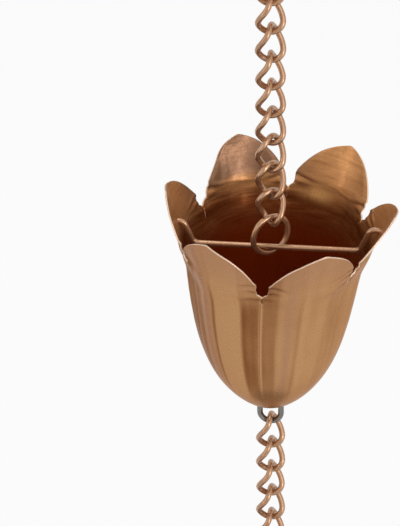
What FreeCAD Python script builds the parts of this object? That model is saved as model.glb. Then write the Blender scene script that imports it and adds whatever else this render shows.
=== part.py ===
import FreeCAD, Part
import math
import os

# A rain chain: four tulip cups of thin copper-coloured sheet on a chain of twisted wire links.
# The chain hangs along Z. The centre of the top ring is at the origin, X runs along the hanger bars.

Vec = FreeCAD.Vector
os.makedirs("parts", exist_ok=True)

# How many of each piece (sizes in millimetres, angles in degrees)
CUP_COUNT = 4
LINKS_BETWEEN_CUPS = 12
TOP_LINK_COUNT = 4
TAIL_LINK_COUNT = 3

# Wire and the slack where one wire hangs in another
WIRE_D = 2.3
SEAT_GAP = 0.2
SEAT = WIRE_D + SEAT_GAP

# Chain link: a flat oval, twisted a quarter turn between its two ends
LINK_LENGTH = 16.6
LINK_WIDTH = 11.9
LINK_TWIST = 90.0
LINK_STEPS = 16

# The links just above a ring turn a little, one after the other, to meet it square
TURNING_LINKS = 4
TURN_PER_LINK = -12.5
LINK_WOBBLE = 4.0

# Split ring
RING_OUTER_D = 17.8
RING_CUT_GAP = 0.5
RING_END_SHIFT = 0.9
RING_STEPS = 32
RING_CUT_ANGLE = -62.0

# Tulip cup of thin sheet: a round-bottomed bowl with a drain hole, flutes and six petals
SHEET = 0.6
NECK_D = 71.0
NECK_Z = 75.0
BOWL_ROUND = 4.64
BOWL_FILL = 0.863
BOWL_TAPER = 0.352
BOWL_SECTIONS = 9
HOLE_D = 12.0
HOLE_TRIM = 1.5
PETALS = 6
FLARE = 2.2
FLARE_DROP = 12.0
FLARE_SECTIONS = 2
PETAL_LEAN = 22.0
PETAL_RISE = 20.5
PETAL_BULGE = 3.4
PETAL_BEND = 2.5
PETAL_SECTIONS = 3
TIP_OVERLAP = 0.2
NIP_D = 2.8
NIP_DEPTH = 2.4
FLUTE_DEPTH = 0.028
FLUTE_START = 12.0
SECTION_POINTS = 48
SEAM = math.radians(13.0)

# Hanger bar across the neck of a cup, below the notches
BAR_BELOW_NECK = 4.0
BAR_STRAIGHT_HALF = 29.5
BAR_END_RISE = 9.0
BAR_END_OUT = 0.7
BAR_BEND_R = 3.0
BAR_HOLE_GAP = 0.2

# Wire eye under a cup
EYE_WIDTH = 10.7
EYE_DROP = 11.3
EYE_LEG_REACH = 13.5
EYE_BEND_R = 2.4
EYE_FLOOR_GAP = 0.4

WIRE_R = WIRE_D / 2
NECK_R = NECK_D / 2
RING_MEAN_R = (RING_OUTER_D - WIRE_D) / 2
LINK_RUN = LINK_LENGTH - WIRE_D
LINK_SPREAD = LINK_WIDTH - WIRE_D
TIP_Z = NECK_Z + PETAL_RISE
BAR_Z = NECK_Z - BAR_BELOW_NECK
RING_ABOVE_BAR = RING_MEAN_R - SEAT
CUP_RING_Z = BAR_Z + RING_ABOVE_BAR
EYE_WIRE_Z = WIRE_R - EYE_DROP
RING_TURN = TURNING_LINKS * TURN_PER_LINK + 90.0


def unit(v):
    return Vec(v).normalize()


def circle_wire(centre, tangent, side, radius):
    """A round wire section whose start point lies towards side."""
    t = unit(tangent)
    x = unit(side - t * side.dot(t))
    y = t.cross(x)
    turn = FreeCAD.Matrix(x.x, y.x, t.x, centre.x, x.y, y.y, t.y, centre.y, x.z, y.z, t.z, centre.z)
    circle = Part.makeCircle(radius, Vec(0, 0, 0), Vec(0, 0, 1))
    circle.Placement = FreeCAD.Placement(turn)
    return Part.Wire([circle])


def round_bar(points, tangents, first_side):
    """A bar of round wire lofted through the points, its sections carried along without twisting."""
    side = Vec(first_side)
    sections = []
    for point, tangent in zip(points, tangents):
        t = unit(tangent)
        side = unit(side - t * side.dot(t))
        sections.append(circle_wire(point, t, side, WIRE_R))
    return Part.makeLoft(sections, True, False)


def swept_wire(corners, bend_r):
    """Round wire along a flat path of straight runs whose corners are rounded."""
    edges = []
    last = corners[0]
    for before, corner, after in zip(corners, corners[1:], corners[2:]):
        back = unit(before - corner)
        on = unit(after - corner)
        half = math.acos(max(-1.0, min(1.0, back.dot(on)))) / 2
        cut = bend_r / math.tan(half)
        start = corner + back * cut
        end = corner + on * cut
        middle = corner + unit(back + on) * (bend_r / math.sin(half) - bend_r)
        edges.append(Part.makeLine(last, start))
        edges.append(Part.Arc(start, middle, end).toShape())
        last = end
    edges.append(Part.makeLine(last, corners[-1]))
    path = Part.Wire(edges)
    heading = corners[1] - corners[0]
    profile = circle_wire(corners[0], heading, Vec(0, 1, 0), WIRE_R)
    return path.makePipeShell([profile], True, False)


def link_half(mirror):
    """Half of a link's centre line, from the middle of its lower bend to the middle of its upper one."""
    end_r = LINK_SPREAD / 2
    straight = LINK_RUN - LINK_SPREAD
    arc = end_r * math.pi / 2
    total = 2 * arc + straight

    def flat(s):
        if s < arc:
            a = s / end_r
            return end_r * math.sin(a), end_r * (1 - math.cos(a))
        if s < arc + straight:
            return end_r, end_r + s - arc
        a = (s - arc - straight) / end_r
        return end_r * math.cos(a), end_r + straight + end_r * math.sin(a)

    def place(s):
        across, up = flat(min(max(s, 0.0), total))
        share = up / LINK_RUN
        turn = math.radians(LINK_TWIST * share * share * (3 - 2 * share))
        across *= mirror
        return Vec(across * math.cos(turn), across * math.sin(turn), up)

    points = []
    tangents = []
    step = total / LINK_STEPS
    for i in range(LINK_STEPS + 1):
        s = i * step
        points.append(place(s))
        tangents.append(place(s + 0.02) - place(s - 0.02))
    top = math.radians(LINK_TWIST)
    tangents[0] = Vec(mirror, 0, 0)
    tangents[-1] = Vec(-mirror * math.cos(top), -mirror * math.sin(top), 0)
    return points, tangents


def chain_link():
    """A link with the middle of its lower bend at the origin, that bend lying along X."""
    halves = []
    for mirror in (1, -1):
        points, tangents = link_half(mirror)
        halves.append(round_bar(points, tangents, Vec(0, 0, 1)))
    link = halves[0].fuse(halves[1]).removeSplitter()
    return link


def split_ring():
    """A ring of round wire in the XZ plane, cut once, its two ends pushed a little aside."""
    open_angle = 2 * math.asin(min(0.5, RING_CUT_GAP / 2 / RING_MEAN_R))
    first = math.radians(RING_CUT_ANGLE) + open_angle / 2
    sweep = 2 * math.pi - open_angle

    def place(share):
        a = first + sweep * share
        near_end = (2 * share - 1) ** 7
        return Vec(RING_MEAN_R * math.cos(a), RING_END_SHIFT / 2 * near_end, RING_MEAN_R * math.sin(a))

    points = []
    tangents = []
    for i in range(RING_STEPS + 1):
        share = i / RING_STEPS
        points.append(place(share))
        tangents.append(place(share + 0.001) - place(share - 0.001))
    return round_bar(points, tangents, points[0])


def bowl_radius(height):
    """Outer radius of the bowl, which rises steeply from the hole and tapers out to the neck."""
    share = min(max(height / NECK_Z, 0.0), 1.0)
    rounded = (1 - (1 - share) ** BOWL_ROUND) ** BOWL_FILL
    grown = rounded * (1 - BOWL_TAPER) + share * BOWL_TAPER
    return HOLE_D / 2 + (NECK_R - HOLE_D / 2) * grown + flare(height)


def flare(height):
    """How far the sheet has turned out, from a little below the neck to where the petals are straight."""
    share = (height - NECK_Z + FLARE_DROP) / (FLARE_DROP + PETAL_BEND)
    share = min(max(share, 0.0), 1.0)
    return FLARE * share * share * (3 - 2 * share)


def bowl_normal(height):
    """Outward and upward parts of the bowl's normal at a height."""
    step = 0.002 * NECK_Z
    low = max(height - step, 0.0)
    high = min(height + step, NECK_Z)
    grow = bowl_radius(high) - bowl_radius(low)
    rise = high - low
    size = math.hypot(grow, rise)
    return rise / size, -grow / size


def cup_profile():
    """Points (radius, height) with their normals, from the hole's edge up past the petal tips."""
    out, up = bowl_normal(0.0)
    profile = [(HOLE_D / 2 + HOLE_TRIM * up, -HOLE_TRIM * out, out, up)]
    flare_z = NECK_Z - FLARE_DROP
    heights = [flare_z * (i / BOWL_SECTIONS) ** 2 for i in range(BOWL_SECTIONS + 1)]
    heights += [flare_z + FLARE_DROP * (i + 1) / FLARE_SECTIONS for i in range(FLARE_SECTIONS)]
    for height in heights:
        profile.append((bowl_radius(height), height) + bowl_normal(height))
    lean = math.radians(PETAL_LEAN)
    half = (lean + math.atan2(-profile[-1][3], profile[-1][2])) / 2
    bend_r = NECK_R + FLARE + PETAL_BEND * math.sin(half)
    bend_z = NECK_Z + PETAL_BEND * math.cos(half)
    for i in range(PETAL_SECTIONS + 1):
        height = bend_z + (TIP_Z + PETAL_BEND - bend_z) * i / PETAL_SECTIONS
        profile.append((bend_r + (height - bend_z) * math.tan(lean), height, math.cos(lean), -math.sin(lean)))
    return profile


PROFILE = cup_profile()


def flute(z):
    """How deep the flutes are at a height, as a share of the radius."""
    share = (z - FLUTE_START) / (NECK_Z * 0.75 - FLUTE_START)
    share = min(max(share, 0.0), 1.0)
    return FLUTE_DEPTH * share * share * (3 - 2 * share)


def skin(offset):
    """Solid bounded by the cup's outer profile moved inwards by offset."""
    sections = []
    for r, z, out, up in PROFILE:
        radius = r - offset * out
        height = z - offset * up
        depth = flute(z)
        points = []
        for k in range(SECTION_POINTS):
            a = SEAM + 2 * math.pi * k / SECTION_POINTS
            here = radius * (1 + depth * (math.cos(PETALS * a) - 0.5))
            points.append(Vec(here * math.cos(a), here * math.sin(a), height))
        ring = Part.BSplineCurve()
        ring.interpolate(points, PeriodicFlag=True)
        sections.append(Part.Wire([ring.toShape()]))
    return Part.makeLoft(sections, True, False)


def radius_at(height, angle, offset=0.0):
    """Radius of the cup's skin at a height and angle, from the profile."""
    heights = [z - offset * up for r, z, out, up in PROFILE]
    radii = [r - offset * out for r, z, out, up in PROFILE]
    for i in range(len(heights) - 1):
        if heights[i] <= height <= heights[i + 1]:
            share = (height - heights[i]) / (heights[i + 1] - heights[i])
            radius = radii[i] + share * (radii[i + 1] - radii[i])
            return radius * (1 + flute(height) * (math.cos(PETALS * math.radians(angle)) - 0.5))
    return radii[-1]


def floor_at(radius, offset):
    """Height above the bowl's outer floor of a point that lies offset inside it, at a radius."""
    low, high = 0.0, NECK_Z
    for _ in range(40):
        middle = (low + high) / 2
        out, up = bowl_normal(middle)
        if bowl_radius(middle) - offset * out < radius:
            low = middle
        else:
            high = middle
    return low - offset * bowl_normal(low)[1]


def notch_cutter():
    """What is taken out between two petals, with a round nip at its foot, for the notch that faces +X."""
    tip_r = radius_at(TIP_Z, 0)
    tip_y = tip_r * math.sin(math.pi / PETALS)
    edges = []
    for side in (1, -1):
        foot = Vec(0, 0, NECK_Z)
        tip = Vec(0, side * (tip_y + TIP_OVERLAP), TIP_Z)
        chord = tip - foot
        normal = unit(Vec(0, -side * chord.z, side * chord.y))
        middle = (foot + tip) * 0.5 + normal * PETAL_BULGE
        edges.append((foot, middle, tip))
    top = TIP_Z + PETAL_RISE / 2
    right = Part.Arc(*edges[0]).toShape()
    left = Part.Arc(*edges[1]).toShape()
    wide = tip_y * 1.4
    corners = [edges[0][2], Vec(0, wide, top), Vec(0, -wide, top), edges[1][2]]
    lines = [Part.makeLine(a, b) for a, b in zip(corners, corners[1:])]
    face = Part.Face(Part.Wire(Part.__sortEdges__([right, left] + lines)))
    face.translate(Vec(NECK_R * 0.5, 0, 0))
    notch = face.extrude(Vec(NECK_R * 1.5, 0, 0))
    nip_z = NECK_Z - NIP_DEPTH + NIP_D / 2
    nip = Part.makeCylinder(NIP_D / 2, NECK_R, Vec(NECK_R * 0.5, 0, nip_z), Vec(1, 0, 0))
    return notch.fuse(nip)


def bar_corners():
    """Corners of the hanger bar's path, from one end to the other."""
    end_z = BAR_Z + BAR_END_RISE
    wall = radius_at(end_z, 0, SHEET / 2)
    lean = math.radians(PETAL_LEAN)
    reach = SHEET / 2 + BAR_END_OUT
    inside = BAR_BEND_R * 1.1
    outer = Vec(wall + reach * math.cos(lean), 0, end_z - reach * math.sin(lean))
    inner = Vec(wall - inside * math.cos(lean), 0, end_z + inside * math.sin(lean))
    half = [outer, inner, Vec(BAR_STRAIGHT_HALF, 0, BAR_Z)]
    return half + [Vec(-p.x, 0, p.z) for p in reversed(half)]


def hanger_bar():
    return swept_wire(bar_corners(), BAR_BEND_R)


def bar_hole():
    """Rods as thick as the holes that the bar's ends pass through, well past both sides of the sheet."""
    past = SHEET + BAR_END_OUT + WIRE_D
    ends = []
    for outer, inner in ((bar_corners()[0], bar_corners()[1]), (bar_corners()[-1], bar_corners()[-2])):
        way = unit(outer - inner)
        ends.append(Part.makeCylinder(WIRE_R + BAR_HOLE_GAP, 2 * past, outer - way * past, way))
    return ends


def bottom_eye():
    """Wire eye whose legs pass up through the hole and lie on the bowl's floor."""
    half = (EYE_WIDTH - WIRE_D) / 2
    clear = WIRE_R + EYE_FLOOR_GAP
    low_z = floor_at(HOLE_D / 2, SHEET + clear)
    end_z = floor_at(EYE_LEG_REACH, SHEET + clear)
    slope = (end_z - low_z) / (EYE_LEG_REACH - HOLE_D / 2)
    knee_z = end_z - slope * (EYE_LEG_REACH - half)
    path = [Vec(EYE_LEG_REACH, 0, end_z), Vec(half, 0, knee_z), Vec(half, 0, EYE_WIRE_Z),
            Vec(-half, 0, EYE_WIRE_Z), Vec(-half, 0, knee_z), Vec(-EYE_LEG_REACH, 0, end_z)]
    return eye_sweep(path, min(EYE_BEND_R, half * 0.9), half)


def eye_sweep(path, knee_bend, half):
    """Sweep the eye: rounded knees at the top, one half circle at the bottom."""
    bend = []
    for end, knee, low in ((path[0], path[1], path[2]), (path[5], path[4], path[3])):
        back = unit(end - knee)
        on = unit(low - knee)
        opening = math.acos(back.dot(on)) / 2
        cut = knee_bend / math.tan(opening)
        middle = knee + unit(back + on) * (knee_bend / math.sin(opening) - knee_bend)
        bend.append((end, knee + back * cut, middle, knee + on * cut, Vec(low.x, 0, EYE_WIRE_Z + half)))
    (end_a, start_a, mid_a, stop_a, foot_a), (end_b, start_b, mid_b, stop_b, foot_b) = bend
    edges = [Part.makeLine(end_a, start_a), Part.Arc(start_a, mid_a, stop_a).toShape(),
             Part.makeLine(stop_a, foot_a), Part.Arc(foot_a, Vec(0, 0, EYE_WIRE_Z), foot_b).toShape(),
             Part.makeLine(foot_b, stop_b), Part.Arc(stop_b, mid_b, start_b).toShape(),
             Part.makeLine(start_b, end_b)]
    profile = circle_wire(end_a, start_a - end_a, Vec(0, 1, 0), WIRE_R)
    return Part.Wire(edges).makePipeShell([profile], True, False)


def tulip_cup():
    """Cup with its lowest edge at z = 0, petals at 0, 60, 120 degrees and so on."""
    cup = skin(0.0).cut(skin(SHEET))
    cup = cup.cut(Part.makeCylinder(HOLE_D / 2, 2 * HOLE_D, Vec(0, 0, -HOLE_D)))
    cutter = notch_cutter()
    cutters = []
    for k in range(PETALS):
        turned = cutter.copy()
        turned.rotate(Vec(0, 0, 0), Vec(0, 0, 1), (k + 0.5) * 360.0 / PETALS)
        cutters.append(turned)
    cup = cup.cut(cutters + bar_hole())
    return max(cup.Solids, key=lambda solid: solid.Volume)


def put(name, shape, z, turn=0.0):
    """Turn a piece about the chain's axis, move it to its height and save it."""
    placed = shape.copy()
    if turn:
        placed.rotate(Vec(0, 0, 0), Vec(0, 0, 1), turn)
    placed.translate(Vec(0, 0, z))
    placed.exportStep("parts/" + name + ".step")


def layout():
    """Every piece as (name, kind, height of its own zero, turn about Z), from the top down."""
    pieces = [("top_ring", "ring", 0.0, 0.0)]
    seat_z = -RING_MEAN_R
    serial = 0
    for run in range(CUP_COUNT + 1):
        if run == 0:
            count, stem = TOP_LINK_COUNT, "top_link_%d"
        elif run < CUP_COUNT:
            count, stem = LINKS_BETWEEN_CUPS, "chain_" + str(run) + "_link_%02d"
        else:
            count, stem = TAIL_LINK_COUNT, "tail_link_%d"
        for i in range(count):
            serial += 1
            left = count - 1 - i
            turn = LINK_WOBBLE * math.sin(2.4 * serial)
            if run < CUP_COUNT and left < TURNING_LINKS:
                turn = (TURNING_LINKS - left) * TURN_PER_LINK
            bottom_z = seat_z + SEAT - LINK_RUN
            pieces.append((stem % (i + 1), "link", bottom_z, turn))
            seat_z = bottom_z
        if run < CUP_COUNT:
            cup = run + 1
            ring_z = seat_z + SEAT - RING_MEAN_R
            cup_z = ring_z - CUP_RING_Z
            pieces.append(("cup_ring_%d" % cup, "ring", ring_z, RING_TURN))
            pieces.append(("cup_%d" % cup, "cup", cup_z, 0.0))
            pieces.append(("hanger_bar_%d" % cup, "bar", cup_z, 0.0))
            pieces.append(("bottom_eye_%d" % cup, "eye", cup_z, 0.0))
            seat_z = cup_z + EYE_WIRE_Z
    return pieces


SHAPES = {"ring": split_ring(), "link": chain_link(), "cup": tulip_cup(), "bar": hanger_bar(),
          "eye": bottom_eye()}

for piece_name, piece_kind, piece_z, piece_turn in layout():
    put(piece_name, SHAPES[piece_kind], piece_z, piece_turn)
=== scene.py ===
import math

import bpy
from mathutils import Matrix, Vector


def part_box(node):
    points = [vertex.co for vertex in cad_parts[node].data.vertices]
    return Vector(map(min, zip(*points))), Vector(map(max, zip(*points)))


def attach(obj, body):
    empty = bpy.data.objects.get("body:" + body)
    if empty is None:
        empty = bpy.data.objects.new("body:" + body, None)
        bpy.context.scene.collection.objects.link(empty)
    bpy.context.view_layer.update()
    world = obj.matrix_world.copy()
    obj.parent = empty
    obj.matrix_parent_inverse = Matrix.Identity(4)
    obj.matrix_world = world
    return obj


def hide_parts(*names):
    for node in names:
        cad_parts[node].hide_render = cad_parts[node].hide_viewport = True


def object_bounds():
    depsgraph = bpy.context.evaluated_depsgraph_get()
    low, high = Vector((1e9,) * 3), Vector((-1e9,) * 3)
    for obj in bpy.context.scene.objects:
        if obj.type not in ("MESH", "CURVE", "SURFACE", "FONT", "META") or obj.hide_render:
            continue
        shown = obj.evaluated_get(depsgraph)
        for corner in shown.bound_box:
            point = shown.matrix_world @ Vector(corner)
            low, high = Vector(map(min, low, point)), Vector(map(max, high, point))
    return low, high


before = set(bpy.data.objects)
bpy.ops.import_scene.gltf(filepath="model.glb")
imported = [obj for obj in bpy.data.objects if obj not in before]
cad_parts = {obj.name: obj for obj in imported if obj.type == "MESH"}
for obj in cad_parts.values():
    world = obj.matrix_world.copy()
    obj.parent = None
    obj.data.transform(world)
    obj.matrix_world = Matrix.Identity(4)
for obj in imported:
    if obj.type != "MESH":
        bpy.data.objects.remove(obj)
cad_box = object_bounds()

# Sizes in metres, angles in degrees, as on the solid model
MM = 0.001
CUPS = 4
PETALS = 6
HALF_PETAL = math.pi / PETALS
NECK_D = 71.0 * MM
NECK_Z = 75.0 * MM
HOLE_D = 12.0 * MM
BOWL_ROUND = 4.64
BOWL_FILL = 0.863
BOWL_TAPER = 0.352
SHEET = 0.6 * MM
PETAL_RISE = 20.5 * MM
PETAL_LEAN = 22.0
PETAL_BULGE = 3.4 * MM
PETAL_BEND = 2.2 * MM
FLARE = 2.2 * MM
FLARE_DROP = 12.0 * MM
FLARE_ABOVE = 2.0 * MM
FLUTE_DEPTH = 0.028
FLUTE_START = 12.0 * MM
FLUTE_FULL = 0.75 * NECK_Z

WIRE_D = 2.3 * MM
LINK_LENGTH = 16.6 * MM
LINK_WIDTH = 11.9 * MM
LINK_TWIST = 90.0
TURNING_LINKS = 4
TURN_PER_LINK = -12.5
LINK_WOBBLE = 4.0
LINK_WOBBLE_STEP = 2.4
LINK_OUTLINE_STEPS = 96
LINK_STEPS = 80
LINK_WIRE_SIDES = 14
LINK_RUNS = [("top_link_%d", 4, True)] + [("chain_%d_link_%%02d" % k, 12, True) for k in (1, 2, 3)]
LINK_RUNS.append(("tail_link_%d", 3, False))

# The bar across a cup's neck: its corners, from the middle out, and how it is bent
BAR_CORNERS = 6
BAR_BELOW_NECK = 4.0 * MM
BAR_STRAIGHT_HALF = 32.0 * MM
BAR_END_RISE = 9.0 * MM
BAR_BEND_R = 3.0 * MM
BAR_BEND_STEPS = 8
BAR_IN_WALL = 39.8 * MM
BAR_OUT = 0.7 * MM
BAR_HOOK = 1.1
BAR_HOOK_FALL = 0.5
BAR_TILT = 7.0
BAR_WIRE_SIDES = 16

# The cup that the main picture shows, and how its camera stands
SHOWN_CUP = 2
VIEW_AZIMUTH = 8.0
VIEW_ELEVATION = 32.0
VIEW_DISTANCE = 1.3
VIEW_END = 60.0
SENSOR = 36.0
PHOTO_W = 400
PHOTO_H = 526
MM_PER_PIXEL = 0.385
NECK_PIXEL = (270.5, 237.5)

# The stage: a floor, the world's light, and area lights with their place from the shown cup's neck,
# their size in metres and their power in watts
FLOOR_BELOW = 45.0 * MM
FLOOR_HALF = 12.0
FLOOR_COLOUR = (0.86, 0.86, 0.85, 1.0)
FLOOR_WHITE = 0.93
WORLD_COLOUR = (0.96, 0.97, 1.0, 1.0)
WORLD_STRENGTH = 0.38
WHITE = (1.0, 1.0, 1.0, 1.0)
LIGHTS = (("key_right", (1.1, -0.96, 0.25), (0.34, 0.34), 2.9),
          ("fill_right", (1.0, -1.0, 0.6), (1.2, 1.6), 8.0),
          ("top", (-0.2, 0.2, 1.8), (1.2, 1.0), 8.0),
          ("left_strip", (-1.3, -0.7, 0.2), (0.22, 1.6), 3.5),
          ("low_right", (1.0, -0.45, -0.7), (0.35, 0.7), 1.6))


class Field:
    """A number in a node tree that can be added, multiplied and so on; each step makes a node."""

    def __init__(self, tree, socket):
        self.tree = tree
        self.socket = socket

    def math(self, operation, *others):
        node = self.tree.nodes.new("ShaderNodeMath")
        node.operation = operation
        for slot, value in zip(node.inputs, (self,) + others):
            feed(self.tree, slot, value)
        return Field(self.tree, node.outputs[0])

    def __add__(self, other):
        return self.math("ADD", other)

    def __sub__(self, other):
        return self.math("SUBTRACT", other)

    def __rsub__(self, other):
        return (self * -1.0) + other

    def __mul__(self, other):
        return self.math("MULTIPLY", other)

    def __truediv__(self, other):
        return self.math("DIVIDE", other)

    def __pow__(self, other):
        return self.math("POWER", other)

    __radd__ = __add__
    __rmul__ = __mul__

    def abs(self):
        return self.math("ABSOLUTE")

    def sqrt(self):
        return self.math("SQRT")

    def sin(self):
        return self.math("SINE")

    def cos(self):
        return self.math("COSINE")

    def max(self, other):
        return self.math("MAXIMUM", other)

    def min(self, other):
        return self.math("MINIMUM", other)

    def within(self, low, high):
        """The number itself, but no less than low and no more than high."""
        return self.max(low).min(high)

    def smooth(self, low, high):
        """0 below low, 1 above high, an even S between."""
        share = ((self - low) / (high - low)).within(0.0, 1.0)
        return share * share * (3.0 - share * 2.0)

    def band(self, start, full, fade, end):
        """1 between full and fade, 0 before start and after end."""
        return self.smooth(start, full) - self.smooth(fade, end)

    def bump(self, middle, width):
        """1 at middle, falling to 0 about two widths to each side."""
        off = (self - middle) / width
        return (off * off * -1.0).math("EXPONENT")


def feed(tree, slot, value):
    """Link a field to a node's slot, or set the slot to a plain value."""
    if isinstance(value, Field):
        tree.links.new(value.socket, slot)
    else:
        slot.default_value = value


def add_node(tree, kind, settings=None, **inputs):
    """A new node with its settings and its inputs, which are named with _ for spaces."""
    node = tree.nodes.new(kind)
    for name, value in (settings or {}).items():
        setattr(node, name, value)
    for name, value in inputs.items():
        feed(tree, node.inputs[name.replace("_", " ")], value)
    return node


def first_output(tree, kind, settings=None, **inputs):
    """The first output of a new node, as a field."""
    return Field(tree, add_node(tree, kind, settings, **inputs).outputs[0])


def combine(tree, x, y, z):
    return first_output(tree, "ShaderNodeCombineXYZ", X=x, Y=y, Z=z)


def separate(tree, vector):
    node = add_node(tree, "ShaderNodeSeparateXYZ", Vector=vector)
    return [Field(tree, out) for out in node.outputs]


def noise(tree, vector, scale, detail, seed):
    """Smooth noise between 0 and 1."""
    node = add_node(tree, "ShaderNodeTexNoise", {"noise_dimensions": "4D"}, Vector=vector, W=seed,
                    Scale=scale, Detail=detail)
    return Field(tree, node.outputs["Fac"])


def mix_colours(tree, share, first, second):
    """From the first colour at share 0 to the second at share 1."""
    node = add_node(tree, "ShaderNodeMix", {"data_type": "RGBA"}, Factor=share)
    feed(tree, node.inputs[6], first)
    feed(tree, node.inputs[7], second)
    return Field(tree, node.outputs[2])


SOCKETS = {"number": "NodeSocketFloat", "material": "NodeSocketMaterial", "geometry": "NodeSocketGeometry",
           "colour": "NodeSocketColor", "vector": "NodeSocketVector"}


def new_tree(name, kind, inputs, outputs):
    """A node tree with named sockets. Returns the tree, its inputs as fields and its output node."""
    tree = bpy.data.node_groups.new(name, kind)
    for socket_name, socket_kind, start in inputs:
        socket = tree.interface.new_socket(socket_name, in_out="INPUT", socket_type=SOCKETS[socket_kind])
        if start is not None:
            socket.default_value = start
    for socket_name, socket_kind in outputs:
        tree.interface.new_socket(socket_name, in_out="OUTPUT", socket_type=SOCKETS[socket_kind])
    entry = tree.nodes.new("NodeGroupInput")
    leave = tree.nodes.new("NodeGroupOutput")
    fields = {socket_name: Field(tree, entry.outputs[socket_name]) for socket_name, _, _ in inputs}
    return tree, fields, leave


def shape_tree(name, numbers):
    """A geometry tree with these named numbers, a base height and a material as its inputs."""
    inputs = [(socket_name, "number", start) for socket_name, start in numbers]
    inputs += [("Base height", "number", 0.0), ("Material", "material", None)]
    return new_tree(name, "GeometryNodeTree", inputs, [("Geometry", "geometry")])


def set_position(tree, geometry, position):
    return first_output(tree, "GeometryNodeSetPosition", Geometry=geometry, Position=position)


def store(tree, geometry, name, value):
    """Keep a number for each point, for the materials to read."""
    return first_output(tree, "GeometryNodeStoreNamedAttribute", {"data_type": "FLOAT", "domain": "POINT"},
                        Geometry=geometry, Name=name, Value=value)


def round_wire(tree, path, wire, sides, closed_ends=False):
    """A round wire along a path."""
    outline = first_output(tree, "GeometryNodeCurvePrimitiveCircle", Resolution=sides, Radius=wire / 2.0)
    return first_output(tree, "GeometryNodeCurveToMesh", Curve=path, Profile_Curve=outline,
                        Fill_Caps=closed_ends)


def finish_tree(tree, geometry, material, leave):
    """Real geometry, smooth, with its material: the end of every tree here."""
    real = first_output(tree, "GeometryNodeRealizeInstances", Geometry=geometry)
    even = first_output(tree, "GeometryNodeSetShadeSmooth", Geometry=real)
    coated = first_output(tree, "GeometryNodeSetMaterial", Geometry=even, Material=material)
    tree.links.new(coated.socket, leave.inputs[0])


def link_tree():
    """A chain link: an oval of round wire, twisted along its length."""
    tree, given, leave = shape_tree("twisted_link", [
        ("Length", LINK_LENGTH), ("Width", LINK_WIDTH), ("Wire", WIRE_D), ("Twist", LINK_TWIST),
        ("Turn", 0.0)])
    run = given["Length"] - given["Wire"]
    radius = (given["Width"] - given["Wire"]) / 2.0
    straight = run / 2.0 - radius
    circle = first_output(tree, "GeometryNodeCurvePrimitiveCircle", Resolution=LINK_OUTLINE_STEPS,
                          Radius=1.0)
    here = first_output(tree, "GeometryNodeInputPosition")
    x, y, z = separate(tree, here)
    oval = combine(tree, x * radius, 0.0, y * radius + straight * y.math("SIGN") + run / 2.0)
    path = set_position(tree, circle, oval)
    even = first_output(tree, "GeometryNodeResampleCurve", Curve=path, Count=LINK_STEPS)
    turn = ((z / run).smooth(0.0, 1.0) * given["Twist"] + given["Turn"]) * math.radians(1.0)
    path = set_position(tree, even, combine(tree, x * turn.cos(), x * turn.sin(), z + given["Base height"]))
    finish_tree(tree, round_wire(tree, path, given["Wire"], LINK_WIRE_SIDES), given["Material"], leave)
    return tree


def bowl_radius(share, hole_r, neck_r):
    """Radius of the bowl at a share of its height."""
    rounded = (1.0 - (1.0 - share) ** BOWL_ROUND).max(0.0) ** BOWL_FILL
    return hole_r + (neck_r - hole_r) * (rounded * (1.0 - BOWL_TAPER) + share * BOWL_TAPER)


def petal_edge(rise, tip_across, bulge):
    """How far a petal's edge is from the notch's middle, at a height above the neck: an arc."""
    chord = (rise * rise + tip_across * tip_across).sqrt()
    arc_r = (chord * chord / 4.0 + bulge * bulge) / (bulge * 2.0)
    inward = arc_r - bulge
    middle_across = tip_across / 2.0 + rise / chord * inward
    middle_up = rise / 2.0 - tip_across / chord * inward

    def at(height):
        up = height - middle_up
        return middle_across - (arc_r * arc_r - up * up).max(0.0).sqrt()

    return at


# One sixth of a cup is a grid: columns across a petal, rows from the drain hole to the petal's tip.
# A share of the rows is for the bowl; the powers crowd the rows at the hole and at the tip.
CUP_COLUMNS = 45
CUP_ROWS = 161
BOWL_ROWS = 0.6
HOLE_CROWD = 1.5
TIP_CROWD = 1.6

# The nip at the bottom of each notch: its size, how pointed it is, how it opens upwards, and which
# columns and rows of the grid it draws down
NIP_DEPTH = 1.6 * MM
NIP_HALF = 1.9 * MM
NIP_POINT = 1.4
NIP_SLANT = 0.35
NIP_COLUMNS = (0.8, 1.0)
NIP_ROWS = (0.7, 1.0)

# Flutes across a sixth beside its main wave: middle, width and height; they are lower on the petals
FOLD_WIDTH = 0.06
FOLD_HEIGHT = -0.35
RIDGES = ((-0.38, 0.13, 0.45), (0.54, 0.10, 0.30), (0.12, 0.22, -0.30))
FLUTE_FADE_END = 6.0 * MM
FLUTE_FADE = 0.75

# Creases at a petal's foot: how deep they are and how they wander up and down across the petal
CREASE_DEPTH = 0.55 * MM
CREASE_LIMIT = 1.2
CREASE_WAVE = 0.5 * MM
CREASE_WAVES = 5.0
CREASE_SLOPE = 0.9 * MM
BESIDE_NOTCH = (0.25, 1.0)

# Each crease line: width, height over the neck, climb across the petal, share of the wander that it follows,
# where it fades in across the petal, and strength
BEND_LINE = (0.6 * MM, 2.0 * MM, 2.8 * MM, 1.0, BESIDE_NOTCH, 0.9)
BEND_LINE_LEAST = 0.12
LOWER_LINE = (0.6 * MM, -0.6 * MM, 1.6 * MM, 0.6, (0.4, 0.9), 1.0)
SHORT_LINE = (0.7 * MM, -3.4 * MM, 0.0, -0.5, (0.55, 0.98), 0.8)
RIPPLE = (0.9 * MM, -5.6 * MM, 1.8 * MM, 0.0, (-0.1, 0.6), 0.5)


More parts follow.
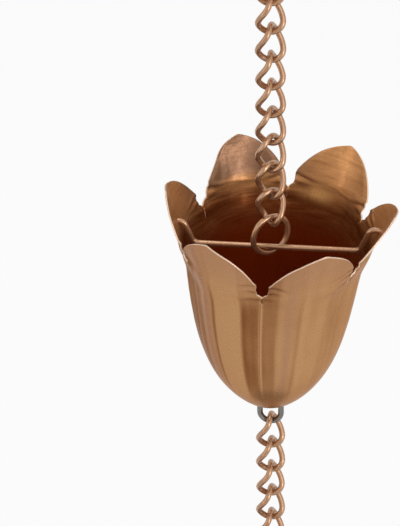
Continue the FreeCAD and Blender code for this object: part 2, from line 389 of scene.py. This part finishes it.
def flutes(side, height, neck_z):
    """A fold under each notch, a ridge on each side of it and a shallow hollow in the middle."""
    sixth = side.abs()
    wave = (sixth * math.pi).cos() - 0.5 + (1.0 - sixth).bump(0.0, FOLD_WIDTH) * FOLD_HEIGHT
    for middle, width, high in RIDGES:
        wave = wave + side.bump(middle, width) * high
    fade = 1.0 - (height - neck_z).smooth(-FLARE_DROP, FLUTE_FADE_END) * FLUTE_FADE
    return wave * height.smooth(FLUTE_START, FLUTE_FULL) * fade


def creases(across, over_neck, seed):
    """Creases where a petal is bent out, deepest beside the notches, from 0 to a little over 1."""
    off_middle = across.abs()
    beside = off_middle.smooth(*BESIDE_NOTCH)
    wander = (across * CREASE_WAVES + seed).sin() * CREASE_WAVE + across * CREASE_SLOPE

    def line(sizes, place, climbing, least=0.0):
        width, level, climb, follow, reach, strength = sizes
        middle = wander * follow + climbing * climb + level
        return over_neck.bump(middle, width) * (place.smooth(*reach) * strength + least)

    bend_line = line(BEND_LINE, off_middle, beside * beside, BEND_LINE_LEAST)
    lower_line = line(LOWER_LINE, off_middle, beside)
    short_line = line(SHORT_LINE, off_middle, beside)
    ripple = line(RIPPLE, across, across)
    return (bend_line + lower_line + short_line + ripple).min(CREASE_LIMIT)


def cup_sixth(tree, given, here):
    """One sixth of a cup, from the drain hole to its petal's tip."""
    neck_r = given["Neck diameter"] / 2.0
    neck_z = given["Neck height"]
    rise = given["Petal rise"]
    grid = first_output(tree, "GeometryNodeMeshGrid", Size_X=2.0, Size_Y=1.0, Vertices_X=CUP_COLUMNS,
                        Vertices_Y=CUP_ROWS)
    across, along, _ = separate(tree, here)
    along = along + 0.5
    bowl = (along / BOWL_ROWS).min(1.0)
    below_tip = (1.0 - ((along - BOWL_ROWS) / (1.0 - BOWL_ROWS)).max(0.0)).max(0.0)
    petal = 1.0 - below_tip ** TIP_CROWD

    # Height and plain radius of the sheet, from the drain hole up over the bend to the tip
    share = bowl ** HOLE_CROWD
    nip = across.abs().smooth(*NIP_COLUMNS) * NIP_DEPTH * (1.0 - petal) * bowl.smooth(*NIP_ROWS)
    above = rise * petal
    lean = (given["Petal lean"] * math.radians(1.0)).math("TANGENT")
    outward = above - PETAL_BEND * (1.0 - (above / PETAL_BEND * -1.0).math("EXPONENT"))
    height = neck_z * share + above - nip
    over_neck = height - neck_z
    radius = bowl_radius(share, given["Hole diameter"] / 2.0, neck_r) + outward * lean
    radius = radius + over_neck.smooth(-FLARE_DROP, FLARE_ABOVE) * FLARE

    # A petal narrows along an arc to its tip; below the neck the sixth keeps its full angle
    tip_r = neck_r + (rise - PETAL_BEND) * lean + FLARE
    edge = petal_edge(rise, tip_r * math.sin(HALF_PETAL), given["Petal bulge"])
    edge_up = above - (1.0 - petal) * NIP_DEPTH
    nip_open = ((edge_up + NIP_DEPTH) / NIP_DEPTH).within(0.0, 1.0) ** NIP_POINT * NIP_HALF
    nip_open = nip_open + edge_up.within(0.0, NIP_DEPTH) * NIP_SLANT
    gap = edge(edge_up.max(0.0)).max(nip_open)
    cut_angle = (gap / radius).min(math.sin(HALF_PETAL)).math("ARCSINE")
    angle = across * (HALF_PETAL - cut_angle).max(0.0)
    side = (angle / HALF_PETAL).within(-1.0, 1.0)

    radius = radius * (flutes(side, height, neck_z) * given["Flute depth"] + 1.0)
    lines = creases(across, over_neck, given["Seed"])
    radius = radius - lines * given["Crease depth"]
    sheet = store(tree, grid, "crease", lines)
    sheet = store(tree, sheet, "rise", height / (neck_z + rise))
    sheet = store(tree, sheet, "side", side)
    return set_position(tree, sheet, combine(tree, radius * angle.cos(), radius * angle.sin(), height))


JOIN_DISTANCE = 0.02 * MM


def six_turned(tree, sixth):
    """Six turned copies of a sixth, joined along the folds."""
    spokes = first_output(tree, "GeometryNodeMeshLine", {"mode": "OFFSET"}, Count=PETALS,
                          Offset=(0.0, 0.0, 0.0))
    index = first_output(tree, "GeometryNodeInputIndex")
    spin = combine(tree, 0.0, 0.0, index * (2.0 * HALF_PETAL))
    turned = first_output(tree, "GeometryNodeInstanceOnPoints", Points=spokes, Instance=sixth, Rotation=spin)
    real = first_output(tree, "GeometryNodeRealizeInstances", Geometry=turned)
    return first_output(tree, "GeometryNodeMergeByDistance", Geometry=real, Distance=JOIN_DISTANCE)


# Handwork: how the crown's lean grows with height, the size and reach of the uneven petals and of the dents,
# and where one petal's edge is pressed in, as an angle about the cup's axis
LEAN_POWER = 3.0
LEAN_DROP = 0.4
NOD_START = 0.45 * NECK_Z
UNEVEN_SCALE = 38.0
UNEVEN_OUT = 4.0 * MM
UNEVEN_UP = 2.0 * MM
DENT_SCALE = 120.0
DENT_SEED = 7.0
DENT_DEPTH = 0.5 * MM
DENT_START = 0.2 * NECK_Z
PINCHED_FROM = math.radians(122.0)
PINCHED_FULL = math.radians(140.0)
PINCHED_END = math.radians(153.0)
PINCH_FADE = 0.09


def handworked(tree, given, here, cup):
    """The crown leans and nods, each petal a little differently, and the sheet is not quite even."""
    neck_r = given["Neck diameter"] / 2.0
    neck_z = given["Neck height"]
    rise = given["Petal rise"]
    x, y, z = separate(tree, here)
    out = (x * x + y * y).sqrt()
    up = (z - neck_z).max(0.0) / rise
    uneven = noise(tree, here, UNEVEN_SCALE, detail=1.0, seed=given["Seed"]) - 0.5
    dents = noise(tree, here, DENT_SCALE, detail=2.0, seed=given["Seed"] + DENT_SEED) - 0.5
    shift = up * uneven * UNEVEN_OUT + dents * DENT_DEPTH * z.smooth(DENT_START, NECK_Z)
    spread = (out + shift) / out
    leaning = (z / (neck_z + rise)).max(0.0) ** LEAN_POWER * given["Lean"]
    to_back = y / neck_r * given["Nod"]
    nodding = to_back * z.smooth(NOD_START, NECK_Z) - to_back.min(0.0) * up
    drop = leaning * x / neck_r * LEAN_DROP + up * (uneven * UNEVEN_UP + given["Droop"]) - nodding

    # The pressed edge turns about the axis, most half way up the petal
    way = y.math("ARCTAN2", x)
    by_edge = way.band(PINCHED_FROM, PINCHED_FULL, PINCHED_END - PINCH_FADE, PINCHED_END)
    half_way_up = up * (1.0 - up) * 4.0
    turn = by_edge * half_way_up * given["Pinch"] / neck_r * -1.0
    across_x = x * turn.cos() - y * turn.sin()
    across_y = x * turn.sin() + y * turn.cos()
    placed = combine(tree, across_x * spread + leaning, across_y * spread, z - drop + given["Base height"])
    return set_position(tree, cup, placed)


def cup_tree():
    """A tulip cup of thin sheet: one fluted sixth with its petal, turned six times and joined."""
    tree, given, leave = shape_tree("tulip_cup", [
        ("Neck diameter", NECK_D), ("Neck height", NECK_Z), ("Hole diameter", HOLE_D),
        ("Petal rise", PETAL_RISE), ("Petal lean", PETAL_LEAN), ("Petal bulge", PETAL_BULGE),
        ("Flute depth", FLUTE_DEPTH), ("Crease depth", CREASE_DEPTH), ("Seed", 1.0), ("Lean", 0.0),
        ("Nod", 0.0), ("Droop", 0.0), ("Pinch", 0.0)])
    here = first_output(tree, "GeometryNodeInputPosition")
    cup = six_turned(tree, cup_sixth(tree, given, here))
    finish_tree(tree, handworked(tree, given, here, cup), given["Material"], leave)
    return tree


def bar_tree():
    """The hanger bar: a straight wire whose two ends turn up and go out through the petals."""
    tree, given, leave = shape_tree("hanger_bar", [
        ("Straight half", BAR_STRAIGHT_HALF), ("End rise", BAR_END_RISE), ("Wall", BAR_IN_WALL),
        ("Bend radius", BAR_BEND_R), ("Wire", WIRE_D), ("Shift", 0.0), ("Tilt", 0.0)])
    line = first_output(tree, "GeometryNodeMeshLine", {"mode": "OFFSET"}, Count=BAR_CORNERS,
                        Offset=(1.0, 0.0, 0.0))

    # Counted from the middle, the corners on each side are at 0.5, 1.5 and 2.5
    index = first_output(tree, "GeometryNodeInputIndex") - (BAR_CORNERS - 1) / 2
    to_inner = (index.abs() - 0.5).within(0.0, 1.0)
    to_outer = (index.abs() - 1.5).within(0.0, 1.0)
    inside = given["Bend radius"] * BAR_HOOK
    x = given["Straight half"] + (given["Wall"] - inside - given["Straight half"]) * to_inner
    x = (x + (inside + BAR_OUT) * to_outer) * index.math("SIGN")
    z = (given["End rise"] + inside * BAR_HOOK_FALL) * to_inner
    z = z - (inside + BAR_OUT) * BAR_HOOK_FALL * to_outer
    corners = combine(tree, x + given["Shift"], 0.0, z + x * given["Tilt"] + given["Base height"])
    path = first_output(tree, "GeometryNodeMeshToCurve", Mesh=set_position(tree, line, corners))
    bent = first_output(tree, "GeometryNodeFilletCurve", {"mode": "POLY"}, Curve=path, Count=BAR_BEND_STEPS,
                        Radius=given["Bend radius"])
    finish_tree(tree, round_wire(tree, bent, given["Wire"], BAR_WIRE_SIDES, True), given["Material"], leave)
    return tree


def grow(name, tree, values):
    """Run a tree on an empty mesh and keep the result as a plain object."""
    maker = bpy.data.objects.new(name + "_maker", bpy.data.meshes.new(name + "_maker"))
    bpy.context.scene.collection.objects.link(maker)
    nodes = maker.modifiers.new("shape", "NODES")
    nodes.node_group = tree
    for item in tree.interface.items_tree:
        if item.in_out == "INPUT" and item.name in values:
            nodes[item.identifier] = values[item.name]
    bpy.context.view_layer.update()
    grown = maker.evaluated_get(bpy.context.evaluated_depsgraph_get())
    mesh = bpy.data.meshes.new_from_object(grown)
    mesh.name = name
    bpy.data.objects.remove(maker)
    piece = bpy.data.objects.new(name, mesh)
    bpy.context.scene.collection.objects.link(piece)
    return piece


# How much the clouds of tone count, how much streaks and grain roughen the coat, and its depth when plain
CLOUD_SHARE = 0.55
STREAK_ROUGHNESS = 0.10
GRAIN_ROUGHNESS = 0.22
PLAIN_DEPTH = 0.2
RELIEF = 0.2 * MM


def copper_group():
    """Copper-coloured lacquer on sheet or wire: uneven tone, fine streaks and a sparkle of grain."""
    tree, given, leave = new_tree("copper_lacquer", "ShaderNodeTree", [
        ("Place", "vector", None), ("Streaks", "vector", None), ("Light tone", "colour", None),
        ("Deep tone", "colour", None), ("Depth", "number", 0.0), ("Tone size", "number", 60.0),
        ("Grain size", "number", 2500.0), ("Smoothness", "number", 0.35), ("Streak share", "number", 0.6)],
        [("Colour", "colour"), ("Roughness", "number"), ("Height", "number")])
    cloud = noise(tree, given["Place"], given["Tone size"], detail=4.0, seed=3.0)
    streak = noise(tree, given["Streaks"], 1.0, detail=3.0, seed=11.0)
    grain = noise(tree, given["Place"], given["Grain size"], detail=1.0, seed=5.0)
    depth = (cloud - 0.5) * CLOUD_SHARE + (streak - 0.5) * given["Streak share"] + given["Depth"]
    rough = given["Smoothness"] + (streak - 0.5) * STREAK_ROUGHNESS + (grain - 0.5) * GRAIN_ROUGHNESS
    results = {"Colour": mix_colours(tree, depth.within(0.0, 1.0), given["Light tone"], given["Deep tone"]),
               "Roughness": rough, "Height": (grain + streak) / 2.0}
    for name, value in results.items():
        feed(tree, leave.inputs[name], value)
    return tree


COPPER = copper_group()


def copper_material(name, light, deep, streaks, smoothness, metallic, depth=None, tint=None, bump=0.03,
                    glare=0.5, streaky=0.6, edge=(1.0, 1.0, 1.0)):
    """A metal coat from the copper group. streaks, depth and tint get the tree and the place in it."""
    material = bpy.data.materials.new(name)
    material.use_nodes = True
    tree = material.node_tree
    tree.nodes.clear()
    place = Field(tree, tree.nodes.new("ShaderNodeTexCoord").outputs["Object"])
    group = add_node(tree, "ShaderNodeGroup", {"node_tree": COPPER}, Place=place,
                     Streaks=streaks(tree, place), Light_tone=light + (1.0,), Deep_tone=deep + (1.0,),
                     Smoothness=smoothness, Streak_share=streaky,
                     Depth=depth(tree, place) if depth else PLAIN_DEPTH)
    colour = Field(tree, group.outputs["Colour"])
    for mask, tone in tint(tree, place) if tint else []:
        colour = mix_colours(tree, mask, colour, tone + (1.0,))
    relief = first_output(tree, "ShaderNodeBump", Strength=bump, Distance=RELIEF,
                          Height=Field(tree, group.outputs["Height"]))
    coat = add_node(tree, "ShaderNodeBsdfPrincipled", Base_Color=colour, Normal=relief, Metallic=metallic,
                    Roughness=Field(tree, group.outputs["Roughness"]), Specular_IOR_Level=glare,
                    Specular_Tint=edge + (1.0,))
    out = tree.nodes.new("ShaderNodeOutputMaterial")
    tree.links.new(coat.outputs[0], out.inputs[0])
    return material


def kept(tree, name):
    """A number that the cup's tree stored on the mesh."""
    node = add_node(tree, "ShaderNodeAttribute", {"attribute_name": name, "attribute_type": "GEOMETRY"})
    return Field(tree, node.outputs["Fac"])


# Streaks per radian around a cup and per metre up it, outside and inside, and per metre along a wire's axes
OUTSIDE_STREAKS = (11.0, 30.0)
INSIDE_STREAKS = (3.0, 900.0)
WIRE_STREAKS = (600.0, 600.0, 250.0)


def cup_streaks(around, upwards):
    """Streaks that follow a turned surface, with their own size around and upwards."""

    def streaks(tree, place):
        x, y, z = separate(tree, place)
        return combine(tree, y.math("ARCTAN2", x) * around, z * upwards, 0.0)

    return streaks


def wire_streaks(tree, place):
    return combine(tree, *[part * size for part, size in zip(separate(tree, place), WIRE_STREAKS)])


# Painted reflections outside: upright light and dark bands in the colour, strongest on the side that
# BAND_DIRECTION points to.
# Levels are shares of a cup's full height, places across a sixth run from -1 to 1.
BAND_DIRECTION = 215.0
BAND_TURN = (-0.1, 0.75)
BAND_LEAST = 0.15
BAND_FOOT = (0.10, 0.26)
BAND_TOP = (0.66, 0.82)
FOLD_BAND = (0.50, 0.60, 0.91, 0.97)
FAR_BAND = (-0.70, -0.58)
RIDGE_LINE = (-0.16, 0.045)
LIGHT_PANEL = (-0.14, -0.04, 0.45, 0.54)
DARK_FOOT = (0.0, 0.14)
# PINK_RIDGE places a painted highlight along one ridge of each sixth
PINK_RIDGE = (-0.38, 0.12)
PINK_RIM = (0.74, 0.94)
PALE_PINK = (0.40, 0.205, 0.130)

# How much each of these turns the outside brown, pale or pink: the fold, far, line and panel shares paint
# reflections, the crease share paints shade, and the pink paints a highlight along the ridge
FOLD_BROWN = 0.70
FAR_BROWN = 0.60
LINE_BROWN = 0.60
PANEL_PALE = 0.40
FOOT_BROWN = 0.35
CREASE_BROWN = 0.30
PLAIN_BROWN = 0.16
RIM_SHARE = 0.5
PINK_MOST = 0.85


def facing(tree, place, degrees):
    """1 where a place lies straight towards an angle about the cup's axis, 0 a quarter turn away."""
    x, y, _ = separate(tree, place)
    turn = math.radians(degrees)
    return (x * math.cos(turn) + y * math.sin(turn)) / (x * x + y * y).sqrt()


def painted_band_strength(tree, place):
    strong = facing(tree, place, BAND_DIRECTION).smooth(*BAND_TURN)
    return (strong * (1.0 - BAND_LEAST) + BAND_LEAST) * kept(tree, "rise").smooth(*BAND_FOOT)


def outside_depth(tree, place):
    """Painted reflections as brown and pale bands beside the folds and a dark line along the ridge, painted
    shade in the creases, and deeper low on the bowl.
    """
    rise = kept(tree, "rise")
    side = kept(tree, "side")
    below_petal = 1.0 - rise.smooth(*BAND_TOP)
    by_fold = side.band(*FOLD_BAND) * below_petal
    far_side = 1.0 - side.smooth(*FAR_BAND)
    line = side.bump(*RIDGE_LINE) * below_petal
    panel = side.band(*LIGHT_PANEL)
    bands = by_fold * FOLD_BROWN + far_side * FAR_BROWN + line * LINE_BROWN - panel * PANEL_PALE
    low = 1.0 - rise.smooth(*DARK_FOOT)
    # painted shade along the creases, outside
    plain = low * FOOT_BROWN + kept(tree, "crease") * CREASE_BROWN + PLAIN_BROWN
    return bands * painted_band_strength(tree, place) + plain


def outside_tint(tree, place):
    """Pinkish grey along one ridge of each sixth as a painted highlight, and pinker near the petals' edges.
    """
    ridge = kept(tree, "side").bump(*PINK_RIDGE) * painted_band_strength(tree, place)
    rim = kept(tree, "rise").smooth(*PINK_RIM) * RIM_SHARE
    return [(ridge.max(rim) * PINK_MOST, PALE_PINK)]


# The same inside: where the deep brown of painted shade ends, the painted shade line under the bend, the
# painted highlight above it, one pink petal, one petal with a painted gold highlight, and the red painted
# shade deep in the bowl
DEEP_END = (0.735, 0.82)
UNDER_BEND = (0.725, 0.035)
PAINTED_HIGHLIGHT_LEVEL = (0.785, 0.022)
PAINTED_HIGHLIGHT_SIDE = (-0.20, 0.34)
PINK_PETAL = 120.0
PINK_TURN = (0.6, 0.9)
PINK_LEVEL = (0.79, 0.85)
PETAL_PINK = (0.16, 0.090, 0.062)
GOLD_PETAL = 60.0
GOLD_TURN = (0.75, 0.92)
GOLD_LEVEL = (0.768, 0.034)
GOLD_SIDE = (0.30, 0.34)
PAINTED_GOLD_HIGHLIGHT = (0.85, 0.46, 0.17)
RED_END = (0.56, 0.76)
PAINTED_RED_SHADE = (0.34, 0.046, 0.003)

# How much each of these turns the inside brown or pale, and how much of each tint it takes: the deep, bend
# and crease browns are painted shade, the pale is a painted highlight
INSIDE_DEPTH_SHADE = 0.66
UNDER_BEND_SHADE = 0.18
INSIDE_CREASE_SHADE = 0.50
INSIDE_PLAIN_BROWN = 0.12
PAINTED_HIGHLIGHT_PALE = 0.45
PINK_SHARE = 0.8
GOLD_SHARE = 0.85
RED_SHARE = 0.9


def inside_depth(tree, place):
    """Painted shade: deep brown down in the cup, lighter on the petals, dark under the bend and in the
    creases, with a painted highlight above the bend.
    """
    rise = kept(tree, "rise")
    # painted shade: deep brown down in the cup
    down = (1.0 - rise.smooth(*DEEP_END)) * INSIDE_DEPTH_SHADE
    # a painted shade line under the bend
    under_bend = rise.bump(*UNDER_BEND) * UNDER_BEND_SHADE
    # painted shade along the creases, inside
    creased = kept(tree, "crease") * INSIDE_CREASE_SHADE
    # a painted highlight just above the bend, on one side of each petal
    painted_highlight = rise.bump(*PAINTED_HIGHLIGHT_LEVEL) * kept(tree, "side").bump(*PAINTED_HIGHLIGHT_SIDE) * PAINTED_HIGHLIGHT_PALE
    return down + under_bend + creased + INSIDE_PLAIN_BROWN - painted_highlight


def inside_tint(tree, place):
    """One petal of each cup is pinker, the next has a painted gold highlight at its bend, and the bowl is
    redder below as painted shade.
    """
    rise = kept(tree, "rise")
    pink = rise.smooth(*PINK_LEVEL) * facing(tree, place, PINK_PETAL).smooth(*PINK_TURN) * PINK_SHARE
    # a painted gold highlight at the bend of the petal facing GOLD_PETAL
    gold_highlight = rise.bump(*GOLD_LEVEL) * kept(tree, "side").bump(*GOLD_SIDE)
    gold_highlight = gold_highlight * facing(tree, place, GOLD_PETAL).smooth(*GOLD_TURN) * GOLD_SHARE
    # painted shade: redder deep in the bowl
    red_shade = (1.0 - rise.smooth(*RED_END)) * RED_SHARE
    return [(pink, PETAL_PINK), (gold_highlight, PAINTED_GOLD_HIGHLIGHT), (red_shade, PAINTED_RED_SHADE)]


BROWN_EDGE = (0.72, 0.50, 0.37)
CUP_OUTSIDE = copper_material(
    "cup_outside_copper", light=(0.53, 0.285, 0.130), deep=(0.225, 0.080, 0.023),
    streaks=cup_streaks(*OUTSIDE_STREAKS), smoothness=0.30, metallic=0.6, depth=outside_depth,
    tint=outside_tint, glare=0.1, edge=BROWN_EDGE)
CUP_INSIDE = copper_material(
    "cup_inside_copper", light=(0.58, 0.275, 0.105), deep=(0.150, 0.042, 0.010),
    streaks=cup_streaks(*INSIDE_STREAKS), smoothness=0.30, metallic=0.40, depth=inside_depth,
    tint=inside_tint, bump=0.05, glare=0.2, streaky=1.3, edge=BROWN_EDGE)
# The cut edge is painted pale as a highlight along the rims.
CUP_EDGE_HIGHLIGHT = copper_material("cut_sheet_edge_highlight", light=(0.95, 0.68, 0.50), deep=(0.70, 0.42, 0.27),
                           streaks=wire_streaks, smoothness=0.30, metallic=0.3)
CHAIN = copper_material("chain_copper", light=(0.52, 0.29, 0.16), deep=(0.20, 0.072, 0.02),
                        streaks=wire_streaks, smoothness=0.22, metallic=0.6, glare=0.9)
BRIGHT = copper_material("bright_steel_wire", light=(0.25, 0.235, 0.22), deep=(0.03, 0.027, 0.024),
                         streaks=wire_streaks, smoothness=0.22, metallic=1.0)

LINK = link_tree()
CUP = cup_tree()
BAR = bar_tree()


def ready(piece, node, body):
    """Let a finished piece stand in for its solid and move with the solid's body."""
    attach(piece, body)
    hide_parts(node)


def make_links():
    """Every link of the chain, hung where its solid is and turned as it is."""
    serial = 0
    for stem, count, meets_ring in LINK_RUNS:
        for i in range(count):
            serial += 1
            left = count - 1 - i
            turn = LINK_WOBBLE * math.sin(LINK_WOBBLE_STEP * serial)
            if meets_ring and left < TURNING_LINKS:
                turn = (TURNING_LINKS - left) * TURN_PER_LINK
            node = stem % (i + 1)
            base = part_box(node)[0][2] + WIRE_D / 2
            link = grow(node + "_wire", LINK, {"Turn": turn, "Base height": base, "Material": CHAIN})
            ready(link, node, node)


# Handwork on each cup, in metres: how far its crown leans to the right and nods to the front, how far
# its petals droop and how far one petal's edge is pressed in
CUP_LEANS = (2.0 * MM, 4.0 * MM, -1.5 * MM, 2.5 * MM)
CUP_NODS = (1.0 * MM, 3.0 * MM, 0.5 * MM, 1.5 * MM)
CUP_DROOPS = (1.0 * MM, 2.8 * MM, 0.5 * MM, 1.5 * MM)
CUP_PINCHES = (1.2 * MM, 3.2 * MM, 0.6 * MM, 1.8 * MM)
CUP_SEED = 1.0
CUP_SEED_STEP = 2.7


def make_cup(k, lean, nod, droop, pinch):
    """A cup: a sheet with an inner side and a cut edge painted bright as a highlight, and the bar across its
    neck.
    """
    node = "cup_%d" % k
    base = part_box(node)[0][2]
    cup = grow(node + "_sheet", CUP, {
        "Base height": base, "Seed": CUP_SEED + CUP_SEED_STEP * k, "Lean": lean, "Nod": nod, "Droop": droop,
        "Pinch": pinch, "Material": CUP_OUTSIDE})
    for material in (CUP_INSIDE, CUP_EDGE_HIGHLIGHT):
        cup.data.materials.append(material)
    sheet = cup.modifiers.new("sheet", "SOLIDIFY")
    sheet.thickness = SHEET
    sheet.offset = -1.0
    sheet.material_offset = 1
    sheet.material_offset_rim = 2
    ready(cup, node, node)

    # The bar goes along with the crown's lean at its own height
    shift = lean * ((NECK_Z + BAR_END_RISE - BAR_BELOW_NECK) / (NECK_Z + PETAL_RISE)) ** LEAN_POWER
    bar_node = "hanger_bar_%d" % k
    bar = grow(bar_node + "_wire", BAR, {
        "Base height": base + NECK_Z - BAR_BELOW_NECK, "Shift": shift, "Tilt": lean * BAR_TILT,
        "Material": CHAIN})
    ready(bar, bar_node, node)


def coat(node, material):
    """A finish for a piece that keeps its solid's own shape."""
    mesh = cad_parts[node].data
    mesh.materials.clear()
    mesh.materials.append(material)


make_links()
for k, work in enumerate(zip(CUP_LEANS, CUP_NODS, CUP_DROOPS, CUP_PINCHES), 1):
    make_cup(k, *work)
for k in range(1, CUPS + 1):
    coat("cup_ring_%d" % k, CHAIN)
    coat("bottom_eye_%d" % k, BRIGHT)
coat("top_ring", CHAIN)


def shown_white(tree, plain, white, share=1.0):
    """The white shader for the camera, reflections and glass, the plain one for all other light."""
    path = tree.nodes.new("ShaderNodeLightPath")
    seen = Field(tree, path.outputs["Is Camera Ray"]).max(Field(tree, path.outputs["Is Glossy Ray"]))
    seen = seen.max(Field(tree, path.outputs["Is Transmission Ray"]))
    mix = tree.nodes.new("ShaderNodeMixShader")
    for slot, value in zip(mix.inputs, (seen * share, plain, white)):
        feed(tree, slot, value)
    return mix.outputs[0]


def make_floor():
    level = cad_box[0][2] - FLOOR_BELOW
    corners = [(x * FLOOR_HALF, y * FLOOR_HALF, level) for x, y in ((-1, -1), (1, -1), (1, 1), (-1, 1))]
    mesh = bpy.data.meshes.new("floor")
    mesh.from_pydata(corners, [], [(0, 1, 2, 3)])
    floor = bpy.data.objects.new("floor", mesh)
    bpy.context.scene.collection.objects.link(floor)
    material = bpy.data.materials.new("pale_floor")
    material.use_nodes = True
    tree = material.node_tree
    tree.nodes.clear()
    plain = first_output(tree, "ShaderNodeBsdfDiffuse", Color=FLOOR_COLOUR)
    white = first_output(tree, "ShaderNodeEmission", Color=WHITE, Strength=1.0)
    out = tree.nodes.new("ShaderNodeOutputMaterial")
    tree.links.new(shown_white(tree, plain, white, FLOOR_WHITE), out.inputs[0])
    mesh.materials.append(material)


def make_world():
    world = bpy.data.worlds.new("studio")
    world.use_nodes = True
    tree = world.node_tree
    tree.nodes.clear()
    plain = first_output(tree, "ShaderNodeBackground", Color=WORLD_COLOUR, Strength=WORLD_STRENGTH)
    white = first_output(tree, "ShaderNodeBackground", Color=WHITE, Strength=1.0)
    out = tree.nodes.new("ShaderNodeOutputWorld")
    tree.links.new(shown_white(tree, plain, white), out.inputs[0])
    bpy.context.scene.world = world


def aim(thing, target):
    thing.rotation_euler = (target - thing.location).to_track_quat("-Z", "Y").to_euler()


def make_lights(middle):
    for name, offset, size, power in LIGHTS:
        lamp = bpy.data.lights.new(name, "AREA")
        lamp.shape = "RECTANGLE"
        lamp.size, lamp.size_y = size
        lamp.energy = power
        thing = bpy.data.objects.new(name, lamp)
        thing.location = middle + Vector(offset)
        thing.visible_camera = False
        bpy.context.scene.collection.objects.link(thing)
        aim(thing, middle)


def make_camera(middle):
    """Look down at the shown cup from the photo's side, at the photo's scale."""
    turn, lift = math.radians(VIEW_AZIMUTH), math.radians(VIEW_ELEVATION)
    away = Vector((math.sin(turn) * math.cos(lift), -math.cos(turn) * math.cos(lift), math.sin(lift)))
    lens = bpy.data.cameras.new("camera")
    lens.sensor_width = SENSOR
    lens.lens = SENSOR * VIEW_DISTANCE / (PHOTO_H * MM_PER_PIXEL * MM)
    lens.shift_x = -(NECK_PIXEL[0] - PHOTO_W / 2) / PHOTO_H
    lens.clip_end = VIEW_END
    camera = bpy.data.objects.new("camera", lens)
    bpy.context.scene.collection.objects.link(camera)
    camera.location = middle + away * VIEW_DISTANCE
    aim(camera, middle)
    bpy.context.scene.camera = camera


shown_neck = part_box("cup_%d" % SHOWN_CUP)[0][2] + NECK_Z
below_neck = (PHOTO_H / 2 - NECK_PIXEL[1]) * MM_PER_PIXEL * MM / math.cos(math.radians(VIEW_ELEVATION))

make_floor()
make_world()
make_lights(Vector((0.0, 0.0, shown_neck)))
make_camera(Vector((0.0, 0.0, shown_neck - below_neck)))
bpy.context.scene.view_settings.view_transform = "Standard"
